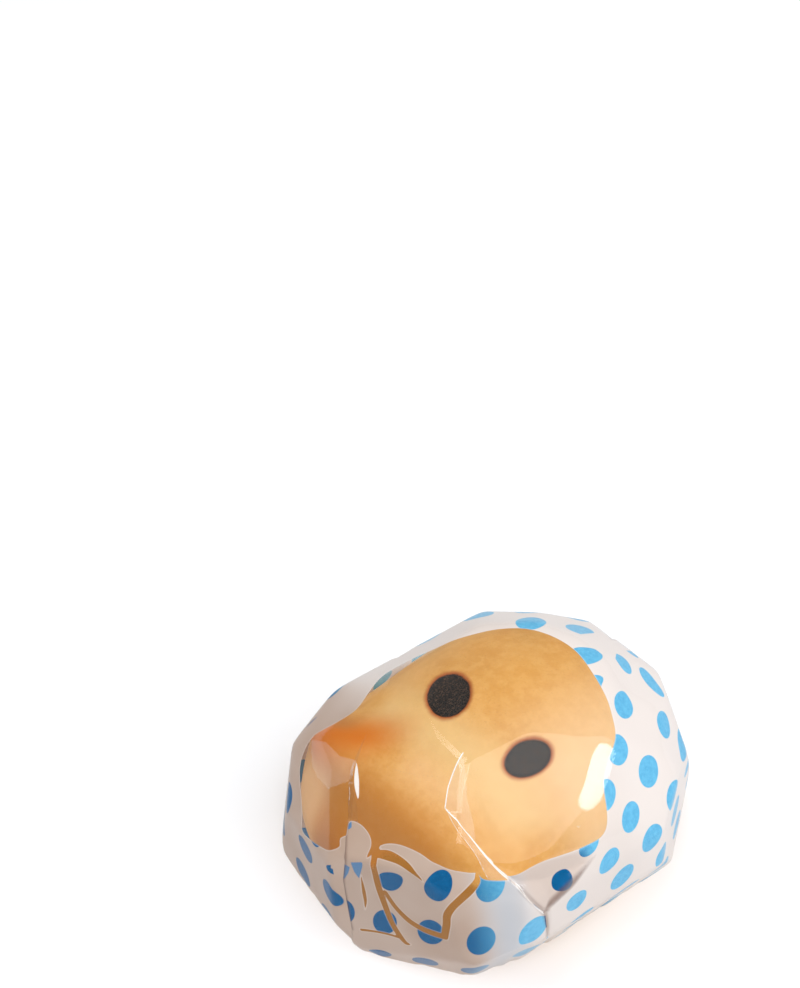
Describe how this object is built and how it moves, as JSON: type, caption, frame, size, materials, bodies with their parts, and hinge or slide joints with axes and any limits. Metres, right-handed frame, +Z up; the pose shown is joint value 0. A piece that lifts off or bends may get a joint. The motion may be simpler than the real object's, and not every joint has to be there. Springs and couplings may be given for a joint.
{
  "type": "wrapped filled bun",
  "caption": "Baked filled bun (manju) with a pinched muzzle and two burnt eye marks, wrapped in film that is clear over the face and printed round the sides, gathered under its base",
  "frame": {"origin": "under the middle of the wrapped bun, on the surface that it rests on", "axes": "+Z up out of the face, +Y from the chin to the brow, +X to the bun's own left cheek"},
  "size_m": [0.0488, 0.0561, 0.0307],
  "materials": {
    "baked_dough": "thin golden baked crust, slightly shiny",
    "printed_film": "glossy clear film, back-printed white with light blue dots"
  },
  "bodies": {
    "root": {"manju": "baked_dough", "wrapper": "printed_film"}
  },
  "joints": []
}
